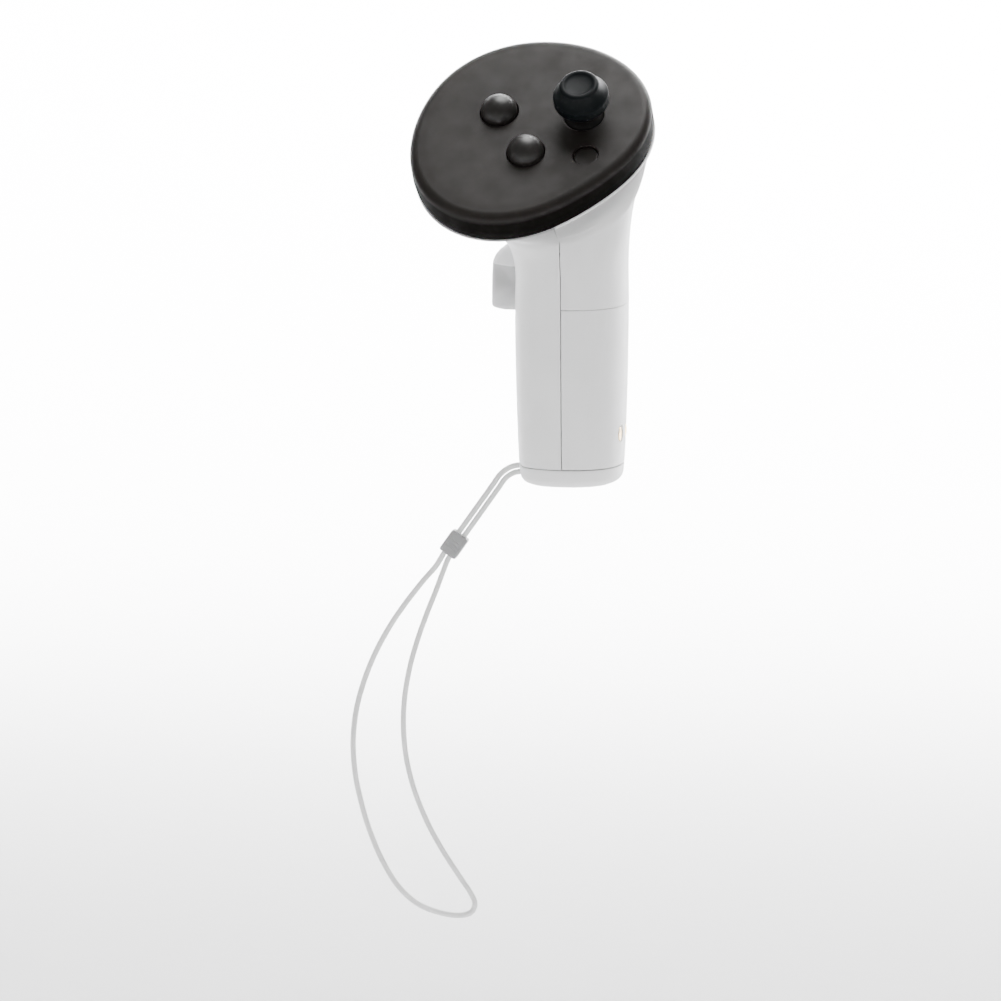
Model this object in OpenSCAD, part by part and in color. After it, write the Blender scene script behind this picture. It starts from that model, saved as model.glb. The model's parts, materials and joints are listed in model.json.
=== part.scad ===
// Hand-held motion controller: a disc-shaped head with a thumbstick and keys, a
// hollow handle with an index trigger, a grip button, a battery bay and a wrist strap.
// Millimetres. +Z runs up the handle's axis, the user is on the -Y side, the index
// finger on the +Y side, and the origin is the middle of the handle's flat end.

/* [Head] */
// Lean of the face from the handle's axis, towards the user
head_tilt = 40; // [38:1:42]
// Mean radius of the face's flat top
face_r = 31.9; // [31.5:0.1:32.3]
// Height of the face cover, from its rim to its flat top
cover_h = 9.5; // [9.2:0.1:10]
// Rise of the face at its middle
face_dome = 0.8; // [0.4:0.1:1.2]

/* [Handle] */
// Width of the handle, across the palm
handle_w = 30.8; // [30.4:0.1:31.4]
// Depth of the handle, from palm to fingers
handle_d = 36.4; // [36:0.1:37]
// Thickness of the handle's shells
wall = 1.8; // [1.6:0.1:2]

/* [Thumbstick and keys] */
// Radius of the thumbstick cap's skirt
stick_r = 7.75; // [7:0.25:8]
// Height of the thumbstick's top above the face
stick_h = 13.4; // [13.2:0.2:14]
// Radius of the two face keys
key_r = 5.1; // [4.8:0.1:5.4]
// Height of a face key above the face
key_h = 5.6; // [5.2:0.1:6]
// Radius of the menu key
menu_r = 3.4; // [3:0.1:3.6]

/* [Trigger and grip button] */
// Width of the index trigger
trigger_w = 24; // [22:1:25]
// How far the grip button stands out of the handle
grip_out = 7; // [6:0.5:7]

/* [Wrist strap] */
// Diameter of the strap's cord
cord_d = 1.6; // [1.4:0.1:1.7]

/* [Hidden] */
$fn = 48;

white = [0.86, 0.86, 0.86];
dark = [0.2, 0.19, 0.18];
metal = [0.75, 0.75, 0.77];
board_green = [0.1, 0.35, 0.22];

// The face's middle in the row frame, and the outline's two waves
head_x = -12.7;
head_z = 98.4;
oval = [0.074, 50];
egg_wave = [0.033, 9.7];

// The cover's wall, outside and inside the flat top's outline
flare = 1.2;
cover_in = -1.0;
plate_t = 2;

// Where things sit on the face, as [u, v] from its middle
stick_at = [15.6, 4.1];
upper_at = [-8.2, 4.5];
lower_at = [1.2, -10.3];
menu_at = [18, -10.5];
cover_screws_at = [[-20.6, 8.8], [-14, -17], [10.8, -20.6], [8, 23]];

// The screws, the bosses they bite into and the holes they pass through
screw_r = 0.95;
screw_bite = 0.15;
screw_hole_r = 1.15;
boss_r = 2.2;

// Pins of the trigger and the grip button, and the bores that turn on them or hold them
pin_r = 1;
pin_hold_r = pin_r + 0.05;
pin_turn_r = pin_r + 0.06;
hinge_coil_r = 1.75;
hinge_wire_r = 0.25;

// Heights in the head, from the flat top
stick_pivot = -5;
dome_r = 7.2;
frame_top = -8;
frame_bottom = -9.2;
board_top = -6;
board_bottom = -7.2;
stick_hole_r = 8.2;
key_foot = -3.2;

// The ribbon between the two boards, along X
ribbon_x = [-6.6, -6.35];

// Trigger hinge, as [u, v, w] in the head's frame
trigger_u = 6;
trigger_v = 20;
trigger_pivot_w = -12.2;
trigger_x = trigger_u + head_x;

// Grip button: its hinge, and how far it runs along the handle
grip_hinge = [-9.2, 64.5];
grip_y = [-7, 9];
grip_z = [48, 67];
window_gap = 0.4;

// Battery bay
battery_x = 3;
battery_r = 7.25;
battery_z = [8.9, 58.2];
bay_r = battery_r + 0.35;
bay_wall = 1.2;

// Stations where the pieces of the skin end, and the seam between them in degrees
cap_top_s = 2.12;
shell_foot_s = 2.15;
cover_top_s = 5;
rim_s = 10;
seam_swing = 20;
seam_gap = 0.4;
shell_screw_y = 12.3;
shell_screws_z = [20, 46];

half_w = handle_w / 2;
half_d = handle_d / 2;

// ---- The body's skin: a ring at each station, from the handle's end to the head's rim.
// Each row is [x, y, z, lean, half width, half depth, share of the head's outline].
base_y = sin(head_tilt) * (cover_h + 0.2);
base_z = head_z - cos(head_tilt) * (cover_h + 0.2);
STATIONS = [
    [0, 0, 0, 0, half_w - 4, half_d - 4.4, 0],
    [0, 0, 1, 0, half_w - 2.2, half_d - 2.6, 0],
    [0, 0, 4, 0, half_w - 1.3, half_d - 1.7, 0],
    [0, 0, 16, 0, half_w - 0.7, half_d - 0.9, 0],
    [0, 0, 34, 0, half_w - 0.2, half_d - 0.2, 0],
    [0, 0, 50, 0, half_w, half_d, 0],
    [0, -0.2, 61, 8, half_w, half_d + 0.1, 0],
    [-0.8, -0.4, 70, 20, half_w + 1.5, half_d + 0.9, 0.05],
    [-3, 0.4, 78.4, 31, half_w + 5, half_d + 3.8, 0.3],
    [-5, 3, 85.3, 38, half_w + 9, half_d + 8.8, 0.45],
    [head_x, base_y, base_z, head_tilt, face_r + 0.3, face_r + 0.3, 1]
];

function mix(a, b, t) = a + (b - a) * t;
function spline(a, b, c, d, t) =
    0.5 * (2 * b + (c - a) * t + (2 * a - 5 * b + 4 * c - d) * pow(t, 2) + (3 * b - a - 3 * c + d) * pow(t, 3));
function station(s) =
    let (last = len(STATIONS) - 1, i = min(floor(s), last - 1))
    spline(STATIONS[max(i - 1, 0)], STATIONS[i], STATIONS[i + 1], STATIONS[min(i + 2, last)], s - i);
function egg(t) = 1 + oval[0] * cos(2 * (t - oval[1])) + egg_wave[0] * cos(3 * (t - egg_wave[1]));
function squarer(c) = sign(c) * pow(abs(c), 0.84);
// A point of the skin, set in by d and lifted along the ring's own axis
function skin(s, t, d = 0, lift = 0) =
    let (
        q = station(s),
        x = (q[4] - d) * mix(squarer(cos(t)), egg(t) * cos(t), q[6]),
        y = (q[5] - d) * mix(squarer(sin(t)), egg(t) * sin(t), q[6])
    )
    [q[0] + x, q[1] + y * cos(q[3]) - lift * sin(q[3]), q[2] + y * sin(q[3]) + lift * cos(q[3])];
// The inner skin keeps its distance where the body flares out
function flare_lift(s) = s > 6 ? 1.1 * pow(sin(180 * (s - 6) / 4), 2) : 0;

// The angle of the seam between the two shells, which keeps near x = 0 up to the head's rim
function seam(s) = 90 - seam_swing * station(s)[6];
// Half of the skin as a shell from station s0 to s1: the outer half on +X, or the inner half
module skin_shell(outer, s0, s1, ns, nt = 26) {
    row = nt + 1;
    side = row * (ns + 1);
    function angle(s, k) =
        outer ? mix(seam_gap - seam(s), seam(s) - seam_gap, k) : mix(seam(s), 360 - seam(s), k);
    function at(i, d, k) =
        let (s = mix(s0, s1, i / ns))
        [for (j = [0:nt]) skin(s, angle(s, j / nt), d, k * flare_lift(s))];
    points = concat([for (i = [0:ns]) each at(i, 0, 0)], [for (i = [0:ns]) each at(i, wall, 1)]);
    function quad(a, b, c, d) = [[a, b, c], [a, c, d]];
    faces = [
        for (i = [0:ns - 1], j = [0:nt - 1])
            let (a = i * row + j)
            each concat(quad(a, a + row, a + row + 1, a + 1),
                quad(side + a, side + a + 1, side + a + row + 1, side + a + row)),
        for (j = [0:nt - 1])
            each concat(quad(j, j + 1, side + j + 1, side + j),
                quad(ns * row + j, side + ns * row + j, side + ns * row + j + 1, ns * row + j + 1)),
        for (i = [0:ns - 1])
            let (a = i * row, b = i * row + nt)
            each concat(quad(a, side + a, side + a + row, a + row), quad(b, b + row, side + b + row, side + b))
    ];
    polyhedron(points, faces, convexity = 6);
}

// A closed solid through rings of n points each, the first ring lowest
module loft(rings) {
    n = len(rings[0]);
    last = len(rings) - 1;
    faces = concat(
        [[for (j = [0:n - 1]) j]],
        [for (i = [0:last - 1], j = [0:n - 1])
            let (a = i * n + j, b = i * n + (j + 1) % n)
            each [[a, a + n, b + n], [a, b + n, b]]],
        [[for (j = [n - 1:-1:0]) last * n + j]]
    );
    polyhedron([for (r = rings) each r], faces, convexity = 6);
}

// A tube along a list of points, with `sides` sides, ended square. `across` stays off
// every direction of travel, and orients the rings.
function unit(v) = v / norm(v);
module sweep(path, r, sides, across = [0, 1, 0]) {
    last = len(path) - 1;
    loft([for (i = [0:last])
        let (
            d = unit(path[min(i + 1, last)] - path[max(i - 1, 0)]),
            a = unit(cross(d, across)),
            b = cross(d, a)
        )
        [for (k = [0:sides - 1]) path[i] + r * (cos(360 * k / sides) * a + sin(360 * k / sides) * b)]]);
}

module head() translate([head_x, 0, head_z]) rotate([head_tilt, 0, 0]) children();
module on_face(at, w = 0) translate([at[0], at[1], w]) children();
// The face's outline grown by d, as points at height w
function outline(d = 0, w = 0, n = 72) =
    [for (j = [0:n - 1]) let (t = 360 * j / n, r = face_r * egg(t) + d) [r * cos(t), r * sin(t), w]];
function flat(points) = [for (p = points) [p[0], p[1]]];
module outline_plate(d, bottom, top)
    translate([0, 0, bottom]) linear_extrude(top - bottom) polygon(flat(outline(d)));
// A cylinder along X, from x0 to x1
module rod_x(r, x0, x1) translate([x0, 0, 0]) rotate([0, 90, 0]) cylinder(r = r, h = x1 - x0);
// A cylinder along Y, from y0 to y1
module rod_y(r, y0, y1) translate([0, y0, 0]) rotate([-90, 0, 0]) cylinder(r = r, h = y1 - y0);
// A box from its lowest to its highest corner
module box(a, b) translate(a) cube(b - a);
// A coil about +Z, of mean radius r0 at its foot and r1 at its top
module coil(r0, r1, wire, h, turns, steps = 12) {
    last = turns * steps;
    path = [for (i = [0:last])
        let (k = i / last, t = 360 * i / steps, r = mix(r0, r1, k))
        [r * cos(t), r * sin(t), h * k]];
    sweep(path, wire, 6, [0, 0, 1]);
}

// ---- Head
module face_cover() color(dark) head() difference() {
    union() {
        difference() {
            loft(concat(
                [outline(flare - 0.7, -cover_h), outline(flare, -cover_h + 3), outline(flare, -2.6),
                    outline(flare - 0.35, -1.3), outline(flare - 0.9, -0.4), outline(-0.4, 0)],
                [for (k = [0.8, 0.6, 0.4, 0.2, 0.03])
                    [for (p = outline()) [p[0] * k, p[1] * k, face_dome * (1 - k * k)]]]
            ));
            loft([outline(cover_in, -cover_h - 1), outline(cover_in, -plate_t - 1),
                outline(cover_in - 1, -plate_t)]);
        }
        for (at = cover_screws_at) on_face(at, board_top + 0.1) cylinder(r = boss_r, h = -board_top - 1.5);
    }
    on_face(stick_at, stick_pivot) sphere(r = dome_r + 0.36);
    for (at = [upper_at, lower_at]) on_face(at, -5) cylinder(r = key_r + 0.3, h = 8);
    on_face(menu_at, -5) cylinder(r = menu_r + 0.2, h = 8);
    for (at = cover_screws_at) on_face(at, board_top) cylinder(r = screw_r - screw_bite, h = 2.8);
}

module head_frame() color([0.35, 0.35, 0.36]) head() {
    ear_x = 9;
    difference() {
        union() {
            outline_plate(cover_in - 0.4, frame_bottom, frame_top);
            // Pads that stand under the board
            for (at = cover_screws_at) on_face(at, frame_top - 0.2) cylinder(r = boss_r, h = 0.95);
            for (side = [-1, 1]) translate([trigger_u + side * ear_x, trigger_v, trigger_pivot_w]) {
                rod_x(2.6, -1, 1);
                box([-1, -2.6, 0], [1, 2.6, frame_bottom - trigger_pivot_w + 0.2]);
            }
        }
        for (at = cover_screws_at) on_face(at, frame_bottom - 1) cylinder(r = screw_hole_r, h = 5);
        on_face(stick_at, frame_bottom - 1) cylinder(r = stick_hole_r, h = 4);
        // The slot that the ribbon passes through
        box([ribbon_x[0] - head_x - 0.4, -12.6, frame_bottom - 1], [ribbon_x[1] - head_x + 0.4, -2.2, frame_top + 1]);
        translate([trigger_u, trigger_v, trigger_pivot_w]) rod_x(pin_hold_r, -ear_x - 2, ear_x + 2);
    }
}

module main_board() color(board_green) head() difference() {
    outline_plate(-5, board_bottom, board_top);
    for (at = cover_screws_at) on_face(at, board_bottom - 1) cylinder(r = screw_hole_r, h = 4);
    on_face(stick_at, board_bottom - 1) cylinder(r = stick_hole_r, h = 4);
}

module key_membrane() color([0.8, 0.8, 0.8]) head() {
    foot = board_top + 0.05;
    for (key = [[upper_at, 3.2], [lower_at, 3.2], [menu_at, 2.2]]) on_face(key[0], foot) {
        cylinder(r = key[1] + 2.2, h = 0.6);
        cylinder(r = key[1], h = 1.4);
    }
    // Webs that join the three domes
    for (pair = [[upper_at, lower_at], [lower_at, menu_at]]) {
        run = pair[1] - pair[0];
        on_face(pair[0], foot) rotate(atan2(run[1], run[0])) box([3, -1.5, 0], [norm(run) - 3, 1.5, 0.6]);
    }
}

module key(at) color(dark) head() on_face(at) {
    edge = 1.5;
    ball = (key_r * key_r + pow(key_h - edge, 2)) / (2 * (key_h - edge));
    intersection() {
        translate([0, 0, key_foot]) cylinder(r = key_r, h = key_h - key_foot + 1);
        translate([0, 0, key_h - ball]) sphere(r = ball, $fn = 96);
    }
    translate([0, 0, key_foot]) cylinder(r = key_r + 0.9, h = 0.9);
}
module upper_key() key(upper_at);
module lower_key() key(lower_at);

module menu_key() color(dark) head() on_face(menu_at) difference() {
    top = -0.35;
    union() {
        translate([0, 0, key_foot]) cylinder(r = menu_r, h = top - key_foot);
        translate([0, 0, key_foot]) cylinder(r = menu_r + 0.7, h = 0.9);
    }
    translate([0, 0, 12]) sphere(r = 12.6, $fn = 96);
}

module on_stick() head() on_face(stick_at, stick_pivot) children();

cap_h = 8.2;
post_r = 1.7;
cap_foot = stick_h - stick_pivot - cap_h;
module thumbstick_cap() color([0.13, 0.14, 0.15]) on_stick() translate([0, 0, cap_foot]) difference() {
    rotate_extrude() polygon([[0, 0], [stick_r - 1.6, 0], [stick_r - 0.5, 0.6], [stick_r, 1.5], [stick_r, 3.8],
        [stick_r - 0.4, 4.5], [5.5, cap_h - 0.6], [4.8, cap_h], [3.9, cap_h], [0, cap_h - 0.7]]);
    translate([0, 0, -1]) cylinder(r = post_r + 0.05, h = 4);
}

module stick_post() color(metal) on_stick() {
    translate([0, 0, -3.5]) cylinder(r = 1.2, h = 12);
    translate([0, 0, 4.5]) cylinder(r = post_r, h = cap_foot + 2.9 - 4.5);
}

module dust_dome() color(dark) on_stick() difference() {
    sphere(r = dome_r, $fn = 96);
    sphere(r = dome_r - 0.8, $fn = 96);
    translate([0, 0, -10 + dome_r * cos(72)]) cube(20, center = true);
    cylinder(r = post_r + 0.05, h = 10);
}

// Ring and block turn about u and v: the two crossed hinges of the stick
module gimbal_ring() color(metal) on_stick() difference() {
    union() {
        translate([0, 0, -0.8]) cylinder(r = 4.1, h = 1.6);
        rod_x(0.6, -5.45, 5.45);
    }
    translate([0, 0, -1]) cylinder(r = 2.9, h = 2);
    rod_y(0.65, -5, 5);
}

module gimbal_block() color([0.3, 0.3, 0.3]) on_stick() difference() {
    union() {
        translate([0, 0, -1]) cylinder(r = 2.1, h = 2);
        rod_y(0.6, -4, 4);
    }
    translate([0, 0, -2]) cylinder(r = 1.25, h = 4);
}

module stick_base() color([0.25, 0.25, 0.26]) on_stick() {
    floor_w = -6.5;
    half = 7;
    difference() {
        union() {
            box([-half, -half, floor_w], [half, half, floor_w + 1.2]);
            // Posts that carry the ring's pins
            for (x = [-4.95, 4.95]) translate([x, 0, 0]) box([-0.55, -1.3, floor_w + 0.5], [0.55, 1.3, 1.3]);
            for (x = [-6, 6], y = [-6, 6]) translate([x, y, floor_w + 1]) cylinder(r = 0.9, h = 1.25);
        }
        rod_x(0.65, -9, 9);
    }
}

module stick_switch() color([0.15, 0.15, 0.15]) on_stick() {
    translate([0, 0, -5.25]) cylinder(r = 2.4, h = 0.8);
    translate([0, 0, -4.5]) cylinder(r = 1.1, h = 0.4);
}

module stick_spring() color(metal) on_stick() translate([0, 0, -5.0]) coil(3.15, 3.15, 0.22, 2.4, 4);

module led_strip() color([0.8, 0.6, 0.2]) head() difference() {
    outline_plate(-2.6, -7.6, -3);
    outline_plate(-2.9, -8, -2);
}

module tracking_leds() color([0.15, 0.1, 0.2]) head() {
    count = 10;
    for (k = [0:count - 1]) {
        t = 360 * k / count + 12;
        // The strip's outline turns away from its own radius by this much
        turn = -atan(2 * oval[0] * sin(2 * (oval[1] - t)) + 3 * egg_wave[0] * sin(3 * (egg_wave[1] - t)));
        r = face_r * egg(t) - 2.45;
        translate([r * cos(t), r * sin(t), -5.3]) rotate(t + turn) box([0, -1.3, -0.8], [0.95, 1.3, 0.8]);
    }
}

module cover_screws() color(metal) head() for (at = cover_screws_at) on_face(at, frame_bottom - 1.05) {
    cylinder(r = 2 * screw_r, h = 1);
    cylinder(r = screw_r, h = 6.6);
}

// ---- Index trigger
trigger_y = sin(head_tilt) * -trigger_pivot_w + cos(head_tilt) * trigger_v;
trigger_z = head_z + cos(head_tilt) * trigger_pivot_w + sin(head_tilt) * trigger_v;
module on_trigger() translate([trigger_x, trigger_y, trigger_z]) children();
// Extrudes a (y, z) outline along X, from x0 to x1
module along_x(x0, x1) translate([x0, 0, 0]) rotate([90, 0, 90]) linear_extrude(x1 - x0) children();

// The trigger's blade, in (y, z)
TRIGGER_SIDE = [[28.2, 109.2], [29.8, 109], [31, 107], [31.1, 102], [30.4, 96.6], [29.9, 91.6], [30.1, 87],
    [31.2, 82.6], [33.2, 78.8], [34.3, 76.8], [33.9, 75.6], [32.4, 75.5], [29.6, 78.2], [27.6, 82.6],
    [26.7, 88], [26.5, 94.6], [26.7, 101], [27.2, 107.6]];
// The side walls that run into the handle beside the hinge
CHEEK_SIDE = [[28, 107.8], [24.8, 106], [22.8, 104.1], [21.6, 100.8], [21.4, 97.4], [22.3, 94.4], [24.2, 91],
    [26.8, 87], [28.4, 85], [28.6, 100]];
cheek_t = 1.4;

module index_trigger() color(dark) {
    half = trigger_w / 2;
    // Half of the blade's front view, in (x, z)
    edge = [[half - 1.5, 110.2], [half, 108.2], [half, 94], [half - 2.4, 80.6], [half - 4.6, 76.6],
        [half - 7, 75.2]];
    intersection() {
        along_x(trigger_x - half, trigger_x + half) polygon(TRIGGER_SIDE);
        translate([trigger_x, 50, 0]) rotate([90, 0, 0]) linear_extrude(50)
            polygon(concat(edge, reversed([for (p = edge) [-p[0], p[1]]])));
    }
    on_trigger() difference() {
        union() for (side = [0, 1]) mirror([side, 0, 0]) {
            rod_x(2.3, 2.2, 7.7);
            box([3, 0, -1.5], [7, 27 - trigger_y, 2.2]);
        }
        rod_x(pin_turn_r, -12, 12);
    }
    for (x = [-half, half - cheek_t]) along_x(trigger_x + x, trigger_x + x + cheek_t) polygon(CHEEK_SIDE);
}

module trigger_pin() color(metal) on_trigger() rod_x(pin_r, -10.3, 10.3);
module trigger_spring() color(metal) on_trigger()
    translate([-1.5, 0, 0]) rotate([0, 90, 0]) coil(hinge_coil_r, hinge_coil_r, hinge_wire_r, 3, 5);
module trigger_magnet() color(metal) translate([trigger_x, 25.5, 93]) rod_y(1.6, -0.2, 1.3);
module trigger_sensor() color(board_green) box([trigger_x - 7, 13, 88.5], [trigger_x + 1, 13.8, 97]);

// ---- Handle
module trigger_slot() {
    half = trigger_w / 2 + 0.6;
    box([trigger_x - half, 12, 92], [trigger_x + half, 40, 118]);
}
module at_shell_screws() for (y = [-1, 1] * shell_screw_y, z = shell_screws_z) translate([0, y, z]) children();

module inner_shell() color(white) difference() {
    union() {
        difference() {
            skin_shell(false, shell_foot_s, rim_s, 28);
            trigger_slot();
            // The grip button's window, which leaves room below for the swing of its foot
            box([-30, grip_y[0] - window_gap, grip_z[0] - 1.6], [-8, grip_y[1] + window_gap, grip_z[1] + 0.6]);
        }
        at_shell_screws() rod_x(boss_r, -10, -1);
    }
    at_shell_screws() rod_x(screw_r - screw_bite, -7.5, 0);
}

module outer_shell() color(white) difference() {
    skin_shell(true, cover_top_s, rim_s, 18);
    trigger_slot();
}

module contact_bores(r, x0, x1) for (y = [-4, 4]) translate([0, y, 14]) rod_x(r, x0, x1);

module battery_cover() color(white) difference() {
    skin_shell(true, shell_foot_s, cover_top_s - 0.012, 12);
    contact_bores(2.1, 8, 20);
}

module charge_contacts() color([0.9, 0.75, 0.4]) contact_bores(2, 12.2, 14.35);

function cap_ring(s, d, z) = [for (j = [0:47]) let (p = skin(s, 7.5 * j, d)) [p[0], p[1], z]];
module end_cap() color(white) difference() {
    loft([for (k = [0:6]) let (s = cap_top_s * k / 6) cap_ring(s, 0, station(s)[2])]);
    loft([cap_ring(1.4, wall + 0.5, 2), cap_ring(1.8, wall, 3), cap_ring(cap_top_s, wall, 9)]);
    // Slot that the doubled cord leaves through
    box([-18, -1.1, 1.05], [-10, 1.1, 5.35]);
}

module handle_chassis() color([0.35, 0.35, 0.36]) {
    outer_r = bay_r + bay_wall;
    bay = [6.6, 61.6];
    difference() {
        union() {
            translate([battery_x, 0, bay[0]]) cylinder(r = outer_r, h = bay[1] - bay[0]);
            // Flanges that the shells' screws hold
            for (side = [0, 1]) mirror([0, side, 0]) box([-0.8, 7, 14], [0.6, 15.2, 56]);
            // Ears of the grip button's hinge
            box([-6.2, grip_y[0] - 1.8, 58.4], [-4.8, grip_y[1] + 1.8, 61.4]);
            for (y = [grip_y[0] - 1.8, grip_y[1] + 0.6]) hull() {
                on_grip() rod_y(1.8, y, y + 1.2);
                box([-6.2, y, 58.4], [-5, y + 1.2, 61.4]);
            }
        }
        translate([battery_x, 0, bay[0] + 1.5]) cylinder(r = bay_r, h = bay[1] - bay[0] - 3);
        box([battery_x, -20, bay[0] - 1], [30, 20, 54]);
        box([battery_x + 4, -20, bay[0] - 1], [30, 20, 70]);
        at_shell_screws() rod_x(screw_hole_r, -3, 3);
        on_grip() rod_y(pin_hold_r, -20, 20);
    }
}

module shell_screws() color(metal) at_shell_screws() {
    rod_x(screw_r, -6.8, 0.7);
    rod_x(2 * screw_r, 0.65, 1.75);
}

// ---- Grip button
module on_grip() translate([grip_hinge[0], 0, grip_hinge[1]]) children();
// The button from the front, in (x, z)
GRIP_SIDE = [[-12.6, 66.9], [-15.5, 67], [-18.4, 66.2], [-20.3, 64.4], [-21.4, 61.6], [-22.1, 57], [-22.5, 52],
    [-22.6, 48.6], [-22.1, 48], [-13.6, 48], [-12.7, 49.4], [-11.8, 58], [-9.6, 62.6]];

module grip_button() color([0.8, 0.8, 0.8]) {
    side_x = half_w + grip_out;
    difference() {
        union() {
            intersection() {
                translate([0, grip_y[1], 0]) rotate([90, 0, 0])
                    linear_extrude(grip_y[1] - grip_y[0]) polygon(GRIP_SIDE);
                // Rounded in plan, so that it follows the fingers
                linear_extrude(100) polygon([[-6, grip_y[0]], [-19.5, grip_y[0]], [-21.8, grip_y[0] + 1.6],
                    [-side_x, grip_y[0] + 4.5], [-side_x, 3], [-21.6, 6.2], [-19.4, 8.4], [-17.5, grip_y[1]],
                    [-6, grip_y[1]]]);
            }
            on_grip() rod_y(2.4, grip_y[0], grip_y[1]);
        }
        on_grip() {
            rod_y(pin_turn_r, -20, 20);
            rod_y(3, -0.6, 3.6);
        }
    }
}

module grip_pin() color(metal) on_grip() rod_y(pin_r, grip_y[0] - 1.9, grip_y[1] + 1.9);
module grip_spring() color(metal)
    on_grip() translate([0, 0.1, 0]) rotate([-90, 0, 0]) coil(hinge_coil_r, hinge_coil_r, hinge_wire_r, 2.8, 5);
module grip_magnet() color(metal) translate([0, 1, 53]) rod_x(1.6, -12.6, -11.2);

// ---- Battery bay and electronics
module battery_cell() color([0.2, 0.35, 0.6]) translate([battery_x, 0, 0]) {
    translate([0, 0, battery_z[0]]) cylinder(r = battery_r, h = battery_z[1] - battery_z[0]);
    translate([0, 0, battery_z[1] - 0.5]) cylinder(r = 2.7, h = 1.4);
}
module battery_spring() color(metal) translate([battery_x, 0, 8.35]) coil(4.6, 2.4, 0.18, 0.36, 3, 14);
module battery_plate() color(metal) translate([battery_x, 0, battery_z[1] + 1]) cylinder(r = 4.5, h = 0.5);
module haptic_motor() color(metal) box([-11.9, -6.4, 12], [-6.2, 6.4, 36]);
module handle_board() color(board_green) box([-7.4, -8, 38], [-6.4, 8, 56]);

// Height of the main board's underside at depth y
function board_z(y) = head_z + (board_bottom - 0.05 + sin(head_tilt) * y) / cos(head_tilt);
module ribbon_cable() color([0.85, 0.55, 0.2])
    along_x(ribbon_x[0], ribbon_x[1]) polygon([[-3, 56.1], [3, 56.1], [3, board_z(3)], [-3, board_z(-3)]]);

// ---- Wrist strap: a doubled cord to the slider, then one loop that hangs
// The middle of the doubled cord, in (x, z), from the anchor's face to the slider
LEAD = [[-11.3, 3.2], [-14.2, 3.2], [-17, 2.5], [-19.4, 0.7], [-21.3, -2], [-24.2, -6.1], [-27.1, -10.2],
    [-30, -14.3], [-32.9, -18.4], [-35.2, -21.7]];
// The loop's outer run, its turn and its inner run, in (x, y, z)
OUTER_RUN = [[-38.2, 0.2, -24.8], [-41.8, 0.6, -29], [-46.8, 1.2, -35.4], [-51.4, 1.6, -42.2],
    [-55.4, 1.9, -49.6], [-58.6, 2, -57.6], [-60.8, 2, -66], [-61.6, 2, -74.6], [-61, 1.9, -83.2],
    [-59.2, 1.8, -91.6], [-56.6, 1.6, -99.8], [-53.2, 1.4, -107.4], [-49, 1.2, -114],
    [-43.6, 0.9, -118.8], [-37.2, 0.6, -121.2], [-31.6, 0.3, -121.8], [-28.2, 0.1, -120.8]];
INNER_RUN = [[-27.2, 0, -118.2], [-28.6, -0.2, -115], [-31.4, -0.5, -110.8], [-36.2, -0.9, -103.4],
    [-40.4, -1.2, -95.6], [-43.8, -1.4, -87.2], [-46, -1.5, -78.6], [-46.9, -1.5, -70],
    [-46.6, -1.4, -61.4], [-45.2, -1.2, -53], [-43, -0.9, -45], [-40.4, -0.6, -37.6],
    [-37.9, -0.3, -31.2], [-36, -0.1, -26]];
strand_gap = cord_d / 2 + 0.1;
// The lead, moved to one side of its own middle
function beside(side) = [for (i = [0:len(LEAD) - 1])
    let (
        d = unit(LEAD[min(i + 1, len(LEAD) - 1)] - LEAD[max(i - 1, 0)]),
        p = LEAD[i] + side * strand_gap * [d[1], -d[0]]
    )
    [p[0], 0, p[1]]];
function reversed(list) = [for (i = [len(list) - 1:-1:0]) list[i]];

module strap_cord() color([0.85, 0.85, 0.84])
    sweep(concat(beside(1), OUTER_RUN, INNER_RUN, reversed(beside(-1))), cord_d / 2, 8);

// The slider sits where the lead's straight run ends
slider_at = LEAD[8];
lead_angle = atan2(slider_at[1] - LEAD[4][1], slider_at[0] - LEAD[4][0]);
module strap_slider() color([0.55, 0.55, 0.56])
    translate([slider_at[0], 0, slider_at[1]]) rotate([0, -lead_angle, 0]) difference() {
        box([-3.4, -1.6, -2.7], [3.4, 1.6, 2.7]);
        for (side = [-1, 1]) translate([0, 0, side * strand_gap]) rod_x(cord_d / 2 + 0.15, -5, 5);
    }

module strap_anchor() color([0.3, 0.3, 0.3]) box([LEAD[0][0] + 0.02, -2.4, 2.1], [LEAD[0][0] + 4, 2.4, 5.3]);

face_cover();
inner_shell();
outer_shell();
battery_cover();
end_cap();
head_frame();
handle_chassis();
main_board();
key_membrane();
upper_key();
lower_key();
menu_key();
thumbstick_cap();
stick_post();
dust_dome();
gimbal_ring();
gimbal_block();
stick_base();
stick_switch();
stick_spring();
led_strip();
tracking_leds();
index_trigger();
trigger_pin();
trigger_spring();
trigger_magnet();
trigger_sensor();
grip_button();
grip_pin();
grip_spring();
grip_magnet();
battery_cell();
battery_spring();
battery_plate();
haptic_motor();
handle_board();
ribbon_cable();
cover_screws();
shell_screws();
charge_contacts();
strap_anchor();
strap_cord();
strap_slider();
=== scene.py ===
"""Looks for the hand-held motion controller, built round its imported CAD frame.

Sizes are in millimetres in the row frame, and make() turns them into metres. +Z runs up the handle, the user
is on -Y and the index finger on +Y.
"""

import json
import math

import bmesh
import bpy
from mathutils import Matrix, Vector


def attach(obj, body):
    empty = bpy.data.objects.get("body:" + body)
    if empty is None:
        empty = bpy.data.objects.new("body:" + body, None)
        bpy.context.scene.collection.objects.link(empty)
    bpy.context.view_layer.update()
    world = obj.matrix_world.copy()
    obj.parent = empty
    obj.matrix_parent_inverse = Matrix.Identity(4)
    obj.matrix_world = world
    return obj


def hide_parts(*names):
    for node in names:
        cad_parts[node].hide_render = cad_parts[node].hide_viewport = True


MM = 0.001

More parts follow.
